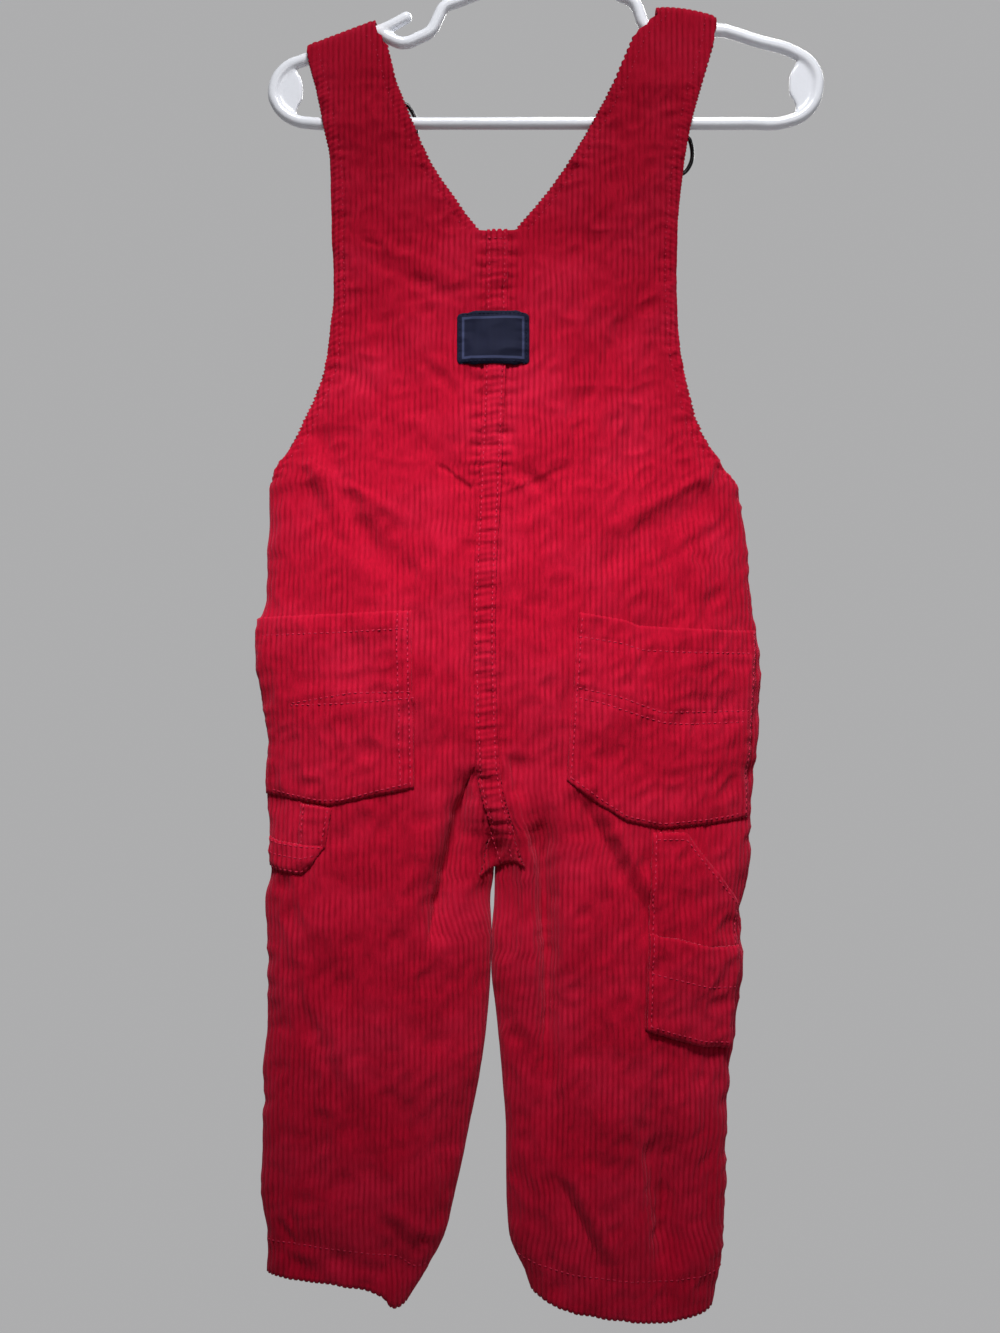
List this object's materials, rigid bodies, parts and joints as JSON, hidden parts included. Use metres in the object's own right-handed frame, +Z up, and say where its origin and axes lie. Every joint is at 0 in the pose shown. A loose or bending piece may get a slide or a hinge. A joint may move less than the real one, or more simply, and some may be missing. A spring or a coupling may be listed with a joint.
{
  "type": "bib overalls on a hanger",
  "caption": "Child's wide-wale corduroy bib overalls hanging by their straps from a tubular plastic hanger, with patch pockets, tool pocket and hammer loop.",
  "frame": {"origin": "point where the hanger's hook rests on the rod that holds it", "axes": "+Z up; the garment's back faces -Y; +X to the right as seen from -Y"},
  "size_m": [0.2949, 0.0557, 0.7647],
  "materials": {
    "corduroy": "wide-wale cotton corduroy, soft nap",
    "patch": "flat woven",
    "hanger_plastic": "glossy",
    "dark_metal": "dark nickel, shiny"
  },
  "bodies": {
    "root": {"hanger": "hanger_plastic", "back_left": "corduroy", "back_right": "corduroy", "center_back_fell": "corduroy", "bib": "corduroy", "front_left": "corduroy", "front_right": "corduroy", "back_pocket_left": "corduroy", "back_pocket_right": "corduroy", "tool_pocket": "corduroy", "tool_pocket_patch": "corduroy", "hammer_loop": "corduroy", "label_patch": "patch", "buckle_left": "dark_metal", "buckle_right": "dark_metal", "bib_button_left": "dark_metal", "bib_button_right": "dark_metal"}
  },
  "joints": []
}
